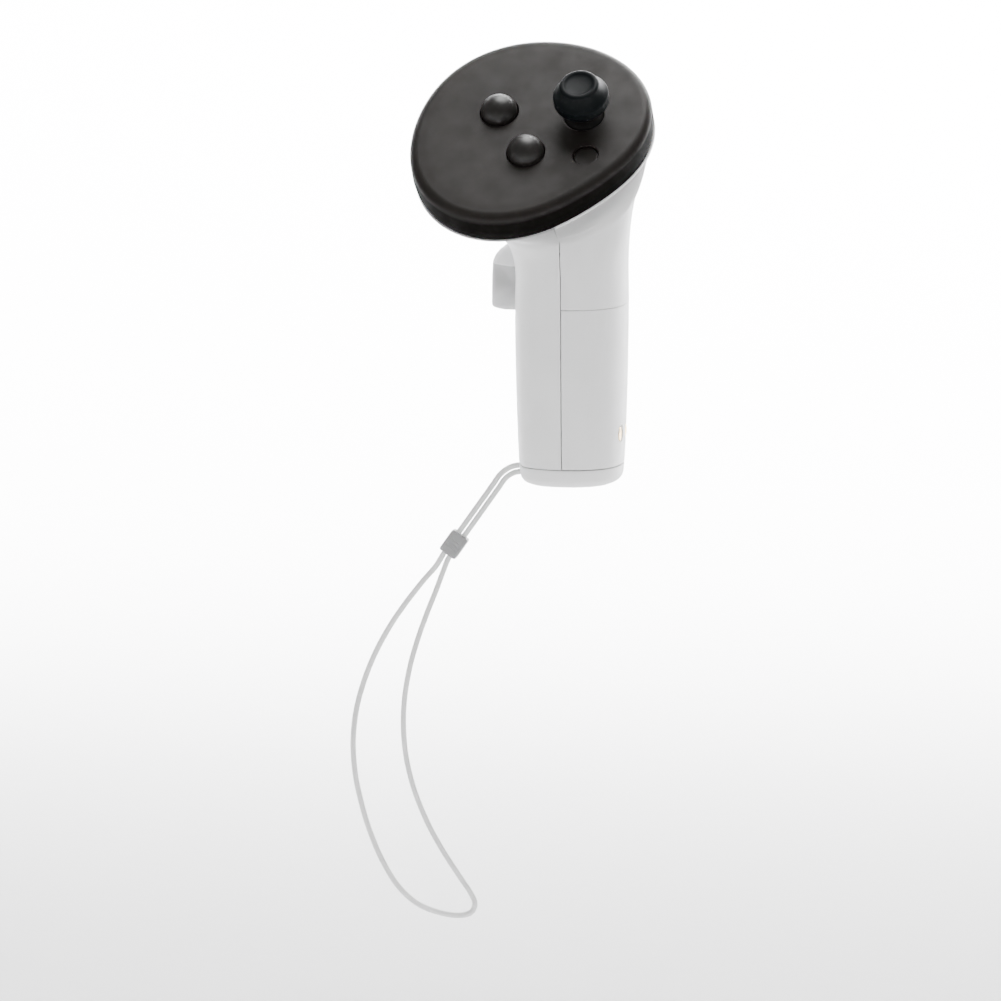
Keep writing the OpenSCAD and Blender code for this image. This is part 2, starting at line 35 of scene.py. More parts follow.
# ---- The driving sizes, as in the part's source
HEAD_TILT = math.radians(40)
HEAD_X, HEAD_Z = -12.7, 98.4
FACE_R = 31.9
COVER_H = 9.5
FACE_DOME = 0.8
FLARE = 1.2
PLATE_T = 2.0
OVAL = (0.074, 50)
EGG_WAVE = (0.033, 9.7)
HALF_W, HALF_D = 15.4, 18.2
WALL = 1.8
STICK_AT, UPPER_AT, LOWER_AT, MENU_AT = (15.6, 4.1), (-8.2, 4.5), (1.2, -10.3), (18.0, -10.5)
STICK_PIVOT, DOME_R = -5.0, 7.2
STICK_R, STICK_H, CAP_H = 7.75, 13.4, 8.2
KEY_R, KEY_H, KEY_EDGE, KEY_FOOT, MENU_R = 5.1, 5.6, 1.5, -3.2, 3.4
TRIGGER_X, TRIGGER_Y, TRIGGER_Z, TRIGGER_W = -6.7, 23.163, 101.91, 24.0
GRIP_Y, GRIP_Z = (-7.0, 9.0), (48.0, 67.0)
BATTERY_X, BATTERY_R = 3.0, 7.25
CONTACTS_Y, CONTACTS_Z, CONTACT_R = (-4, 4), 14, 2
CORD_D, STRAND_GAP = 1.6, 0.9

# ---- Sizes that only the looks have
# The rounds of the grip button's upper and lower corners
GRIP_TOP_R, GRIP_FOOT_R = 5.6, 1.4
# The grip button's ridge, as a y, and the crease across it above its scoop, as a z
GRIP_RIDGE, GRIP_CREASE = 0.6, 60.4
# Edges sharper than this many degrees stay sharp in the shading
SHARP = 38

# The wrist strap's route, as in the part's source: the doubled lead in (x, z), then the loop in (x, y, z)
LEAD = [
    (-11.3, 3.2), (-14.2, 3.2), (-17.0, 2.5), (-19.4, 0.7), (-21.3, -2.0), (-24.2, -6.1), (-27.1, -10.2),
    (-30.0, -14.3), (-32.9, -18.4), (-35.2, -21.7),
]
OUTER_RUN = [
    (-38.2, 0.2, -24.8), (-41.8, 0.6, -29.0), (-46.8, 1.2, -35.4), (-51.4, 1.6, -42.2), (-55.4, 1.9, -49.6),
    (-58.6, 2, -57.6), (-60.8, 2, -66), (-61.6, 2, -74.6), (-61, 1.9, -83.2), (-59.2, 1.8, -91.6),
    (-56.6, 1.6, -99.8), (-53.2, 1.4, -107.4), (-49, 1.2, -114), (-43.6, 0.9, -118.8), (-37.2, 0.6, -121.2),
    (-31.6, 0.3, -121.8), (-28.2, 0.1, -120.8),
]
INNER_RUN = [
    (-27.2, 0, -118.2), (-28.6, -0.2, -115), (-31.4, -0.5, -110.8), (-36.2, -0.9, -103.4),
    (-40.4, -1.2, -95.6), (-43.8, -1.4, -87.2), (-46, -1.5, -78.6), (-46.9, -1.5, -70), (-46.6, -1.4, -61.4),
    (-45.2, -1.2, -53), (-43, -0.9, -45), (-40.4, -0.6, -37.6), (-37.9, -0.3, -31.2), (-36.0, -0.1, -26.0),
]
# The points of the lead where its straight run begins, and where the slider sits
STRAIGHT_STEP, SLIDER_STEP = 4, 8

# ---- The body's skin, as in the part's source. Each row is a ring:
# (x, y, z, lean, half width, half depth, share of the head's outline)
STATIONS = [
    (0, 0, 0, 0, HALF_W - 4, HALF_D - 4.4, 0),
    (0, 0, 1, 0, HALF_W - 2.2, HALF_D - 2.6, 0),
    (0, 0, 4, 0, HALF_W - 1.3, HALF_D - 1.7, 0),
    (0, 0, 16, 0, HALF_W - 0.7, HALF_D - 0.9, 0),
    (0, 0, 34, 0, HALF_W - 0.2, HALF_D - 0.2, 0),
    (0, 0, 50, 0, HALF_W, HALF_D, 0),
    (0, -0.2, 61, 8, HALF_W, HALF_D + 0.1, 0),
    (-0.8, -0.4, 70, 20, HALF_W + 1.5, HALF_D + 0.9, 0.05),
    (-3, 0.4, 78.4, 31, HALF_W + 5, HALF_D + 3.8, 0.3),
    (-5, 3, 85.3, 38, HALF_W + 9, HALF_D + 8.8, 0.45),
    (HEAD_X, math.sin(HEAD_TILT) * (COVER_H + 0.2), HEAD_Z - math.cos(HEAD_TILT) * (COVER_H + 0.2),
     math.degrees(HEAD_TILT), FACE_R + 0.3, FACE_R + 0.3, 1),
]
CAP_TOP_S, SHELL_FOOT_S, COVER_TOP_S, RIM_S = 2.12, 2.15, 5.0, 10.0
SEAM_SWING = 20


def mix(a, b, t):
    return a + (b - a) * t


def ramp(x, a, b):
    """0 before a, 1 after b, and a smooth step between them."""
    t = min(1, max(0, (x - a) / (b - a)))
    return t * t * (3 - 2 * t)


def spline(a, b, c, d, t):
    """The place t of the way from b to c, on a smooth curve through all four."""
    return 0.5 * (2 * b + (c - a) * t + (2 * a - 5 * b + 4 * c - d) * t * t
                  + (3 * b - a - 3 * c + d) * t ** 3)


def around(row, i):
    """The four items that spline() takes between item i and the next. The row's ends count twice."""
    return [row[min(max(k, 0), len(row) - 1)] for k in (i - 1, i, i + 1, i + 2)]


def station(s):
    """The skin's ring at station s, between the rows of STATIONS."""
    i = max(0, min(int(s), len(STATIONS) - 2))
    return [spline(*four, s - i) for four in zip(*around(STATIONS, i))]


def egg(deg):
    """The head's outline at that angle, as a share of its mean radius."""
    return (1 + OVAL[0] * math.cos(2 * math.radians(deg - OVAL[1]))
            + EGG_WAVE[0] * math.cos(3 * math.radians(deg - EGG_WAVE[1])))


def squarer(c):
    """Fills out the corners of a round outline."""
    return math.copysign(abs(c) ** 0.84, c)


def skin(s, deg, d=0.0, lift=0.0):
    """The point of the skin at station s and angle deg, set in by d and lifted along the ring's own axis."""
    x0, y0, z0, lean, half_w, half_d, share = station(s)
    c, n = math.cos(math.radians(deg)), math.sin(math.radians(deg))
    x = (half_w - d) * mix(squarer(c), egg(deg) * c, share)
    y = (half_d - d) * mix(squarer(n), egg(deg) * n, share)
    cl, sl = math.cos(math.radians(lean)), math.sin(math.radians(lean))
    return Vector((x0 + x, y0 + y * cl - lift * sl, z0 + y * sl + lift * cl))


def flare_lift(s):
    """The inner skin keeps its distance where the body flares out."""
    return 1.1 * math.sin(math.pi * (s - 6) / 4) ** 2 if s > 6 else 0.0


def seam(s):
    """The angle of the seam between the two shells, which keeps near x = 0 up to the head's rim."""
    return 90 - SEAM_SWING * station(s)[6]


HEAD = Matrix.Translation((HEAD_X, 0, HEAD_Z)) @ Matrix.Rotation(HEAD_TILT, 4, "X")


def on_face(at):
    """The head's frame, moved to that point of its face."""
    return HEAD @ Matrix.Translation((at[0], at[1], 0))


def face_outline(d, w, n=240):
    """The face's outline grown by d, at height w in the head's frame."""
    out = []
    for j in range(n):
        deg = 360 * j / n
        r = FACE_R * egg(deg) + d
        out.append(HEAD @ Vector((r * math.cos(math.radians(deg)), r * math.sin(math.radians(deg)), w)))
    return out


# ---- Mesh building
def make(name, points, faces, sharp=SHARP):
    """A mesh object from points in millimetres, smooth apart from edges sharper than that many degrees."""
    mesh = bpy.data.meshes.new(name)
    mesh.from_pydata([Vector(p) * MM for p in points], [], faces)
    bm = bmesh.new()
    bm.from_mesh(mesh)
    bmesh.ops.remove_doubles(bm, verts=bm.verts, dist=2e-6)
    bmesh.ops.recalc_face_normals(bm, faces=bm.faces)
    bm.to_mesh(mesh)
    bm.free()
    obj = bpy.data.objects.new(name, mesh)
    bpy.context.scene.collection.objects.link(obj)
    shade(obj, sharp)
    return obj


def shade(obj, sharp):
    obj.data.shade_smooth()
    obj.data.set_sharp_from_angle(angle=math.radians(sharp))


def bake(obj, sharp=SHARP):
    """Applies obj's modifiers to its mesh."""
    graph = bpy.context.evaluated_depsgraph_get()
    made = bpy.data.meshes.new_from_object(obj.evaluated_get(graph))
    obj.modifiers.clear()
    old, obj.data = obj.data, made
    made.name = obj.name
    bpy.data.meshes.remove(old)
    shade(obj, sharp)
    return obj


def soften(obj, width, segments=3, angle=40, sharp=SHARP):
    """Rounds obj's edges that are sharper than angle, to that width in millimetres."""
    bevel = obj.modifiers.new("edges", "BEVEL")
    bevel.width = width * MM
    bevel.segments = segments
    bevel.limit_method = "ANGLE"
    bevel.angle_limit = math.radians(angle)
    bevel.use_clamp_overlap = True
    return bake(obj, sharp)


def cut(obj, *cutters):
    """Takes the cutters out of obj and removes them. Large faces keep their own direction of shade beside
    small ones."""
    for cutter in cutters:
        b = obj.modifiers.new("cut", "BOOLEAN")
        b.operation, b.solver, b.object = "DIFFERENCE", "EXACT", cutter
    bake(obj)
    for cutter in cutters:
        bpy.data.objects.remove(cutter)
    w = obj.modifiers.new("shade", "WEIGHTED_NORMAL")
    w.keep_sharp = True
    w.weight = 80
    return obj


def loft(rings):
    """(points, faces) through rings of equal length, closed at both ends."""
    n = len(rings[0])
    points = [p for ring in rings for p in ring]
    faces = [(i * n + j, i * n + (j + 1) % n, (i + 1) * n + (j + 1) % n, (i + 1) * n + j)
             for i in range(len(rings) - 1) for j in range(n)]
    faces += [tuple(range(n)), tuple(len(points) - n + j for j in range(n))]
    return points, faces


def slab(outer, inner, row):
    """(points, faces) of a closed slab between two equal grids, with `row` points in each of their rows."""
    n, last = len(outer), len(outer) - row
    faces = []
    for start in range(0, last, row):
        for a in range(start, start + row - 1):
            faces.append((a, a + 1, a + row + 1, a + row))
            faces.append((n + a, n + a + row, n + a + row + 1, n + a + 1))
        a, b = start, start + row - 1
        faces.append((a, a + row, n + a + row, n + a))
        faces.append((b, n + b, n + b + row, b + row))
    for j in range(row - 1):
        a = last + j
        faces.append((j, n + j, n + j + 1, j + 1))
        faces.append((a, a + 1, n + a + 1, n + a))
    return outer + inner, faces


def revolve(profile, place, n):
    """(points, faces) of a profile of (radius, height) turned about +Z and placed. Radius 0 closes it."""
    points, faces, rows = [], [], []
    turns = [2 * math.pi * j / n for j in range(n)]
    for r, h in profile:
        if r < 1e-6:
            rows.append([len(points)] * n)
            points.append(place @ Vector((0, 0, h)))
        else:
            rows.append([len(points) + j for j in range(n)])
            points += [place @ Vector((r * math.cos(t), r * math.sin(t), h)) for t in turns]
    for a, b in zip(rows, rows[1:]):
        for j in range(n):
            face = []
            for v in (a[j], a[(j + 1) % n], b[(j + 1) % n], b[j]):
                if v not in face:
                    face.append(v)
            if len(face) > 2:
                faces.append(tuple(face))
    return points, faces


def arc(cx, cy, r, a0, a1, n=6, ry=None):
    """Points on an arc from angle a0 to a1 in degrees. ry is its radius along y, if that isn't r."""
    ry = r if ry is None else ry
    angles = [math.radians(mix(a0, a1, k / n)) for k in range(n + 1)]
    return [(cx + r * math.cos(t), cy + ry * math.sin(t)) for t in angles]


def join(*parts):
    """One (points, faces) from several."""
    points, faces = [], []
    for p, f in parts:
        base = len(points)
        points += p
        faces += [tuple(i + base for i in face) for face in f]
    return points, faces


def prism(outline, axis, a, b):
    """(points, faces) of an outline in two axes, extruded along the third, 0, 1 or 2, from a to b."""
    def point(p, h):
        q = list(p)
        q.insert(axis, h)
        return Vector(q)

    return loft([[point(p, a) for p in outline], [point(p, b) for p in outline]])


# Turns +Z to +X
ALONG_X = Matrix.Rotation(math.pi / 2, 4, "Y")


def rounded_box(x0, y0, x1, y1, r, n=6):
    """The outline of a rectangle with round corners."""
    return (arc(x1 - r, y1 - r, r, 0, 90, n) + arc(x0 + r, y1 - r, r, 90, 180, n)
            + arc(x0 + r, y0 + r, r, 180, 270, n) + arc(x1 - r, y0 + r, r, 270, 360, n))


# ---- Materials
def map_range(mat, value, low, high, at_low, at_high, curve="LINEAR"):
    """The output of a node that turns value's low and high into at_low and at_high."""
    m = mat.node_tree.nodes.new("ShaderNodeMapRange")
    m.interpolation_type = curve
    m.inputs["From Min"].default_value = low
    m.inputs["From Max"].default_value = high
    m.inputs["To Min"].default_value = at_low
    m.inputs["To Max"].default_value = at_high
    mat.node_tree.links.new(value, m.inputs["Value"])
    return m.outputs["Result"]


def times(mat, a, b):
    """The output of a node that multiplies a by b."""
    m = mat.node_tree.nodes.new("ShaderNodeMath")
    m.operation = "MULTIPLY"
    mat.node_tree.links.new(a, m.inputs[0])
    mat.node_tree.links.new(b, m.inputs[1])
    return m.outputs["Value"]


def colour_blend(mat):
    """A node that blends two colours."""
    blend = mat.node_tree.nodes.new("ShaderNodeMix")
    blend.data_type = "RGBA"
    return blend


def material(name, colour, rough, grain=0.0, grain_size=0.35, tint=0.04, metal=0.0, coat=0.0, sheen=0.0,
             gloss=0.5):
    """A moulded or drawn finish: its colour and roughness drift slowly, and a fine grain raises it."""
    mat = bpy.data.materials.new(name)
    mat.use_nodes = True
    nodes, links = mat.node_tree.nodes, mat.node_tree.links
    shader = nodes["Principled BSDF"]
    shader.inputs["Metallic"].default_value = metal
    shader.inputs["Coat Weight"].default_value = coat
    shader.inputs["Coat Roughness"].default_value = 0.12
    shader.inputs["Sheen Weight"].default_value = sheen
    shader.inputs["Specular IOR Level"].default_value = gloss
    where = nodes.new("ShaderNodeTexCoord")

    def noise(size, detail):
        n = nodes.new("ShaderNodeTexNoise")
        n.inputs["Scale"].default_value = 1 / (size * MM)
        n.inputs["Detail"].default_value = detail
        links.new(where.outputs["Object"], n.inputs["Vector"])
        return n.outputs["Fac"]

    def drift(size, detail, low, high):
        return map_range(mat, noise(size, detail), 0.3, 0.7, low, high)

    blend = colour_blend(mat)
    blend.inputs["A"].default_value = (*[c * (1 - tint) for c in colour], 1)
    blend.inputs["B"].default_value = (*[min(1, c * (1 + tint)) for c in colour], 1)
    links.new(drift(14, 3, 0, 1), blend.inputs["Factor"])
    links.new(blend.outputs["Result"], shader.inputs["Base Color"])
    links.new(drift(5, 4, rough * 0.9, min(1, rough * 1.12)), shader.inputs["Roughness"])
    if grain:
        bump = nodes.new("ShaderNodeBump")
        bump.inputs["Strength"].default_value = 1
        bump.inputs["Distance"].default_value = grain * MM
        links.new(noise(grain_size, 2), bump.inputs["Height"])
        links.new(bump.outputs["Normal"], shader.inputs["Normal"])
    return mat


def cover_gloss_and_painted_wall_shade(mat, painted_wall_shade, wall_gloss, edge_gloss):
    """Gives the head's cover a satin round edge, and a duller wall below its flat top, darkened by painted
    shade.
    """
    nodes, links = mat.node_tree.nodes, mat.node_tree.links
    shader = nodes["Principled BSDF"]
    up = HEAD.to_3x3() @ Vector((0, 0, 1))
    where = nodes.new("ShaderNodeTexCoord")
    height = nodes.new("ShaderNodeVectorMath")
    height.operation = "DOT_PRODUCT"
    height.inputs[1].default_value = up
    links.new(where.outputs["Object"], height.inputs[0])
    flat_top = up.dot(HEAD.translation) * MM

    def above(low, high, at_low, at_high):
        """A smooth step between two heights over the flat top."""
        low, high = flat_top + low * MM, flat_top + high * MM
        return map_range(mat, height.outputs["Value"], low, high, at_low, at_high, "SMOOTHSTEP")

    # Painted shade: below the flat top the wall's colour turns darker, for the shade the wall stands in
    blend = colour_blend(mat)
    blend.inputs["A"].default_value = (*painted_wall_shade, 1)
    links.new(shader.inputs["Base Color"].links[0].from_socket, blend.inputs["B"])
    links.new(above(-3.0, -0.8, 0, 1), blend.inputs["Factor"])
    links.new(blend.outputs["Result"], shader.inputs["Base Color"])
    top_gloss = shader.inputs["Specular IOR Level"].default_value
    # Wall to edge, and then edge to flat top
    wall_share = above(-2.9, -1.2, wall_gloss / edge_gloss, 1)
    gloss = times(mat, wall_share, above(-0.6, 0.05, edge_gloss, top_gloss))
    links.new(gloss, shader.inputs["Specular IOR Level"])
    rough = shader.inputs["Roughness"].links[0].from_socket
    zones = times(mat, above(-2.9, -1.2, 1.7, 1), above(-0.6, 0.05, 0.75, 1))
    links.new(times(mat, rough, zones), shader.inputs["Roughness"])
    return mat


def scoop_painted_shade(mat, colour):
    """Paints shade into the grip button's scoop: a darker grey below the crease, on the user's side."""
    nodes, links = mat.node_tree.nodes, mat.node_tree.links
    shader = nodes["Principled BSDF"]
    where = nodes.new("ShaderNodeTexCoord")
    axes = nodes.new("ShaderNodeSeparateXYZ")
    links.new(where.outputs["Object"], axes.inputs[0])

    def along(axis, start, end, at_start, at_end):
        """A smooth step between two places on an axis."""
        return map_range(mat, axes.outputs[axis], start * MM, end * MM, at_start, at_end, "SMOOTHSTEP")

    lower_lip = 48.6
    # The painted shade's mask: none at the lower lip, full from 7 mm above it up to the crease, on the user's
    # side of the ridge
    factor = along("Z", lower_lip, lower_lip + 7, 0, 1)
    factor = times(mat, factor, along("Z", GRIP_CREASE - 0.3, GRIP_CREASE, 1, 0))
    factor = times(mat, factor, along("Y", GRIP_RIDGE - 1.6, GRIP_RIDGE, 1, 0))
    # colour here is the painted shade's grey
    blend = colour_blend(mat)
    blend.inputs["B"].default_value = (*colour, 1)
    links.new(shader.inputs["Base Color"].links[0].from_socket, blend.inputs["A"])
    links.new(factor, blend.inputs["Factor"])
    links.new(blend.outputs["Result"], shader.inputs["Base Color"])
    return mat


def all_materials():
    """The finishes by the record's slot names."""
    return {
        # The cover's wall takes painted shade, a darker colour below the flat top
        "black_plastic": cover_gloss_and_painted_wall_shade(
            material("face_black", (0.0098, 0.0080, 0.0070), 0.52, 0.006, 0.3, 0.10, gloss=0.16),
            painted_wall_shade=(0.0032, 0.0028, 0.0025), wall_gloss=0.02, edge_gloss=0.20),
        "key_black": material("key_gloss", (0.0085, 0.0074, 0.0066), 0.40, 0.001, 0.6, 0.06, gloss=0.42),
        "white_plastic": material("shell_white", (0.80, 0.80, 0.80), 0.38, 0.006, 0.3, 0.015),
        # The grip button's scoop takes painted shade, a darker grey below its crease
        "grey_plastic": scoop_painted_shade(
            material("grip_grey", (0.72, 0.72, 0.73), 0.40, 0.006, 0.3, 0.02), colour=(0.36, 0.36, 0.365)),
        "stick_rubber": material("stick_rubber", (0.0022, 0.0034, 0.004), 0.5, 0.01, 0.25, 0.15, gloss=0.1),
        "dark_plastic": material("inner_black", (0.0060, 0.0056, 0.0054), 0.50, 0.008, 0.3, 0.10, gloss=0.10),
        "frame_plastic": material("frame_grey", (0.06, 0.06, 0.063), 0.5, 0.012, 0.4, 0.12),
        "steel": material("drawn_steel", (0.60, 0.60, 0.61), 0.28, 0.004, 0.2, 0.06, metal=1.0),
        "magnet": material("nickel", (0.62, 0.60, 0.57), 0.16, 0.002, 0.4, 0.04, metal=1.0),
        "zinc": material("cast_zinc", (0.48, 0.48, 0.49), 0.42, 0.012, 0.3, 0.08, metal=1.0),
        "contact_gold": material("contact_gold", (0.80, 0.56, 0.24), 0.22, 0.002, 0.3, 0.05, metal=1.0),
        "circuit_board": material("solder_mask", (0.012, 0.10, 0.045), 0.30, 0.004, 0.8, 0.35, coat=0.4),
        "silicone": material("silicone", (0.62, 0.62, 0.62), 0.55, 0.004, 0.4, 0.04),
        "film": material("polyimide", (0.48, 0.20, 0.03), 0.24, 0.003, 0.6, 0.20, coat=0.3),
        "led_window": material("dark_window", (0.020, 0.006, 0.016), 0.08, 0.001, 0.6, 0.2, coat=0.6),
        "cell_wrap": material("cell_wrap", (0.05, 0.085, 0.15), 0.22, 0.002, 0.8, 0.10, coat=0.5),
        "cord_textile": material("cord_braid", (0.74, 0.74, 0.735), 0.75, 0.010, 0.12, 0.06, sheen=0.25),
        "slider_grey": material("slider_grey", (0.26, 0.26, 0.265), 0.42, 0.006, 0.25, 0.05),
    }


def finish(obj, body, slot, *nodes):
    """obj rides on a body, takes a slot's finish and stands for those CAD nodes."""
    obj.data.materials.clear()
    obj.data.materials.append(FINISH[slot])
    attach(obj, body)
    if nodes:
        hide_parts(*nodes)
    return obj


# ---- Camera, lights and stage
VIEW_AZIMUTH, VIEW_ELEVATION = 10.0, 8.0
AIM = Vector((-20, 0, -6))
DISTANCE, WIDTH = 1150.0, 276.0


def add_camera():
    a, e = math.radians(VIEW_AZIMUTH), math.radians(VIEW_ELEVATION)
    back = Vector((math.sin(a) * math.cos(e), -math.cos(a) * math.cos(e), math.sin(e)))
    camera = bpy.data.objects.new("camera", bpy.data.cameras.new("camera"))
    bpy.context.scene.collection.objects.link(camera)
    # The view has no perspective to speak of
    camera.data.type = "ORTHO"
    camera.data.ortho_scale = WIDTH * MM
    camera.location = (AIM + back * DISTANCE) * MM
    camera.rotation_euler = back.to_track_quat("Z", "Y").to_euler()
    camera.data.clip_start = 0.02
    camera.data.clip_end = 20
    bpy.context.scene.camera = camera


def area_light(name, place, target, size, power, spread=180):
    """A rectangular light in metres and watts that faces its target."""
    data = bpy.data.lights.new(name, "AREA")
    data.shape = "RECTANGLE"
    data.size, data.size_y = size
    data.energy = power
    data.spread = math.radians(spread)
    light = bpy.data.objects.new(name, data)
    bpy.context.scene.collection.objects.link(light)
    light.location = place
    light.rotation_euler = (Vector(place) - Vector(target)).to_track_quat("Z", "Y").to_euler()
    return light


def add_stage():
    """A pale floor that curves up into a wall behind, and soft light."""
    floor_z, half, bend_y, rise = -0.150, 2.2, 0.9, 0.5
    bend = [math.radians(k) for k in range(6, 91, 6)]
    profile = [(-3.0, 0.0), (bend_y, 0.0)]
    profile += [(bend_y + rise * math.sin(t), rise - rise * math.cos(t)) for t in bend]
    profile += [(bend_y + rise, 3.0)]
    points = [(x, y, floor_z + z) for y, z in profile for x in (-half, half)]
    mesh = bpy.data.meshes.new("floor")
    faces = [(2 * i, 2 * i + 1, 2 * i + 3, 2 * i + 2) for i in range(len(profile) - 1)]
    mesh.from_pydata(points, [], faces)
    mesh.shade_smooth()
    floor = bpy.data.objects.new("floor", mesh)
    bpy.context.scene.collection.objects.link(floor)
    mesh.materials.append(material("floor_pale", (0.84, 0.84, 0.845), 0.7, 0.0, tint=0.005))
    world = bpy.data.worlds.new("studio")
    world.use_nodes = True
    world.node_tree.nodes["Background"].inputs["Color"].default_value = (1, 1, 1, 1)
    world.node_tree.nodes["Background"].inputs["Strength"].default_value = 0.32
    bpy.context.scene.world = world
    middle = (-0.015, 0, 0.05)
    # The backdrop's own lights, behind the object
    area_light("backdrop_high", (0, 0.95, 1.35), (0, 1.45, 0.1), (2.4, 0.5), 130, 100)
    area_light("backdrop_low", (0, 0.65, 0.8), (0, 1.3, -0.15), (2.4, 0.3), 45, 90)
    area_light("top_soft", (0.08, 0.24, 1.2), middle, (0.8, 0.8), 28)
    area_light("back_edge", (0.1, 1.0, 0.78), (-0.01, 0, 0.1), (0.9, 0.3), 9)
    # The two in front light the shells and stay out of the black parts' reflections
    for light in (area_light("key_soft", (-1.3, -1.1, 0.9), middle, (1.6, 1.6), 20),
                  area_light("fill_soft", (1.4, -0.9, 0.4), middle, (1.4, 1.4), 14)):
        light.visible_glossy = False


# ---- Wrist strap
def beside(side):
    """The lead, moved to one side of its own middle."""
    out = []
    for i, p in enumerate(LEAD):
        a, b = LEAD[max(i - 1, 0)], LEAD[min(i + 1, len(LEAD) - 1)]
        dx, dz = b[0] - a[0], b[1] - a[1]
        n = math.hypot(dx, dz)
        out.append(Vector((p[0] + side * STRAND_GAP * dz / n, 0, p[1] - side * STRAND_GAP * dx / n)))
    return out


def smooth_line(points, step):
    """A smooth line through the points, with a point about every step."""
    out = []
    for i in range(len(points) - 1):
        count = max(2, round((points[i + 1] - points[i]).length / step))
        out += [spline(*around(points, i), k / count) for k in range(count)]
    return out + [points[-1]]


def strap_cord():
    """The whole cord as a braided tube, and the line it follows."""
    sides, strands, pitch = 16, 4, 2.6
    route = [Vector(p) for p in beside(1) + OUTER_RUN + INNER_RUN + beside(-1)[::-1]]
    line = smooth_line(route, 0.22)
    travelled, rings, across = 0.0, [], Vector((0, 1, 0))
    for i, p in enumerate(line):
        ahead = (line[min(i + 1, len(line) - 1)] - line[max(i - 1, 0)]).normalized()
        if i:
            travelled += (p - line[i - 1]).length
        across = (across - ahead * across.dot(ahead)).normalized()
        side = ahead.cross(across)
        ring = []
        for k in range(sides):
            turn = 2 * math.pi * k / sides
            wind = 2 * math.pi * travelled / pitch
            # Two sets of strands that wind opposite ways and pass over each other
            weave = math.cos(strands * (turn + wind / strands)) * math.cos(strands * (turn - wind / strands))
            r = CORD_D / 2 * (0.965 + 0.045 * weave)
            ring.append(p + r * (math.cos(turn) * across + math.sin(turn) * side))
        rings.append(ring)
    points, faces = loft(rings)
    return make("strap_braid", points, faces, 180), [p * MM for p in line]


def strap_slider():
    """A flat slider with round edges, two bores and a finger groove."""
    middle, start = LEAD[SLIDER_STEP], LEAD[STRAIGHT_STEP]
    angle = math.atan2(middle[1] - start[1], middle[0] - start[0])
    place = Matrix.Translation((middle[0], 0, middle[1])) @ Matrix.Rotation(-angle, 4, "Y")
    block = make("slider_block", *prism(rounded_box(-3.4, -2.7, 3.4, 2.7, 0.7, 5), 1, -1.6, 1.6))
    soften(block, 0.35, 3)
    bore = [(0, -5), (0.95, -5), (0.95, 5), (0, 5)]
    groove = [(0, -1.9), (0.35, -1.9), (0.35, 1.9), (0, 1.9)]
    cutters = [make("bore", *revolve(bore, Matrix.Translation((0, 0, side * STRAND_GAP)) @ ALONG_X, 32))
               for side in (-1, 1)]
    cutters += [make("groove", *revolve(groove, Matrix.Translation((x, y, 0)), 24))
                for y in (-1.85, 1.85) for x in (-1.1, 0, 1.1)]
    cut(block, *cutters)
    to_metres, to_mm = Matrix.Diagonal((MM, MM, MM, 1)), Matrix.Diagonal((1 / MM, 1 / MM, 1 / MM, 1))
    block.data.transform(to_metres @ place @ to_mm)
    return block


def add_strap():
    slider = finish(strap_slider(), "slider", "slider_grey", "strap_slider")
    cord, line = strap_cord()
    finish(cord, "controller", "cord_textile", "strap_cord")


# ---- Head
def dome_height(u, v):
    """Height of the face above its flat top's plane."""
    r = math.hypot(u, v)
    k = r / (FACE_R * egg(math.degrees(math.atan2(v, u))))
    return FACE_DOME * (1 - k * k)


def face_cover():
    """The head's cover: a wall, a round edge and a domed top, with the openings of the keys and the stick."""
    profile = [(FLARE - 2.6, -COVER_H + 1.2), (FLARE - 2.6, -COVER_H), (FLARE - 0.95, -COVER_H),
               (FLARE - 0.75, -COVER_H + 0.12), (FLARE - 0.55, -COVER_H + 0.6),
               (FLARE - 0.15, -COVER_H + 2.2),
               (FLARE, -COVER_H + 3.4)]
    profile += arc(FLARE - 3.0, -2.6, 3.0, 0, 88, 18, ry=2.58)
    rings = [face_outline(d, w) for d, w in profile]
    foot_d, foot_w = profile[-1]
    for k in [1 - 0.04 * i for i in range(1, 25)]:
        flat = [HEAD.inverted() @ q for q in face_outline(foot_d * ramp(k, 0.85, 1.0), 0)]
        w = FACE_DOME * (1 - k * k) + foot_w * ramp(k, 0.9, 1.0) * 0.5
        rings.append([HEAD @ Vector((p.x * k, p.y * k, w)) for p in flat])
    underside = [face_outline(-1.4, -PLATE_T - 0.2), face_outline(-1.4, -COVER_H + 1.2)]
    points, faces = loft([face_outline(-20, -PLATE_T - 0.2)] + underside + rings)
    cover = make("disc_cover", points, faces)
    cutters = []
    for at, r in ((UPPER_AT, KEY_R + 0.3), (LOWER_AT, KEY_R + 0.3), (MENU_AT, MENU_R + 0.2)):
        top = dome_height(*at)
        soft = 0.22
        profile = [(0, -6), (r, -6), (r, top - soft)]
        profile += [(r + soft - x, y) for x, y in arc(0, top - soft, soft, 0, 90, 5)]
        profile += [(r + soft + 0.02, top + 0.5), (0, top + 0.5)]
        cutters.append(make("key_bore", *revolve(profile, on_face(at), 72)))
    # The thumbstick's opening is part of a ball about its pivot, with a rounded mouth
    top = dome_height(*STICK_AT)
    ball = DOME_R + 0.36
    mouth_h = top - STICK_PIVOT - 0.5
    mouth = math.sqrt(ball ** 2 - mouth_h ** 2)
    side = arc(0, 0, ball, -80, 0, 12) + arc(0, 0, ball, 5, math.degrees(math.asin(mouth_h / ball)), 8)
    profile = [(0, STICK_PIVOT - ball)] + [(x, STICK_PIVOT + y) for x, y in side]
    profile += [(mouth + 0.02, top - 0.3), (mouth + 0.22, top - 0.1), (mouth + 0.6, top)]
    profile += [(mouth + 0.62, top + 1), (0, top + 1)]
    cutters.append(make("stick_bore", *revolve(profile, on_face(STICK_AT), 96)))
    return cut(cover, *cutters)


